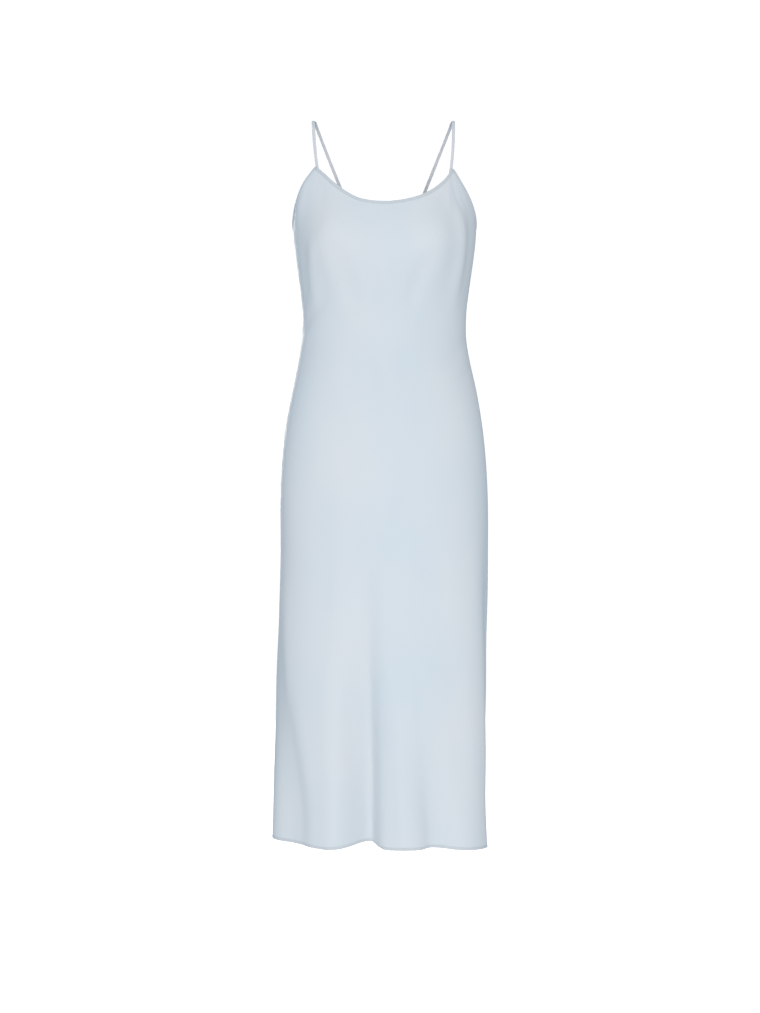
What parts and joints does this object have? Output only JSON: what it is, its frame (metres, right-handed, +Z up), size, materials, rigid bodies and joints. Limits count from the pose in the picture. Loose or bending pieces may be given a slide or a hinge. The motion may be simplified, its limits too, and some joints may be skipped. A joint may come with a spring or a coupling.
{
  "type": "slip dress",
  "caption": "Bias-cut midi slip dress with a scooped neckline, narrow shoulder straps and bound edges, kept hollow in the form it has when worn.",
  "frame": {"origin": "midway between the undersides of the two straps at the tops of the shoulders, where the wearer carries the dress", "axes": "+Z up the wearer's body, -Y the front of the dress, +X towards the wearer's left"},
  "size_m": [0.3539, 0.3023, 1.1912],
  "materials": {
    "satin": "pale ice-blue matt satin, soft sheen, fine weave on the bias",
    "binding": "the same satin, cut as a narrow strip, folded and topstitched",
    "strap": "the same satin, sewn as a narrow flat strap"
  },
  "bodies": {
    "root": {"front_panel": "satin", "back_panel": "satin", "neckline_binding": "binding", "back_neckline_binding": "binding", "armhole_binding_left": "binding", "armhole_binding_right": "binding", "strap_left": "strap", "strap_right": "strap"}
  },
  "joints": []
}
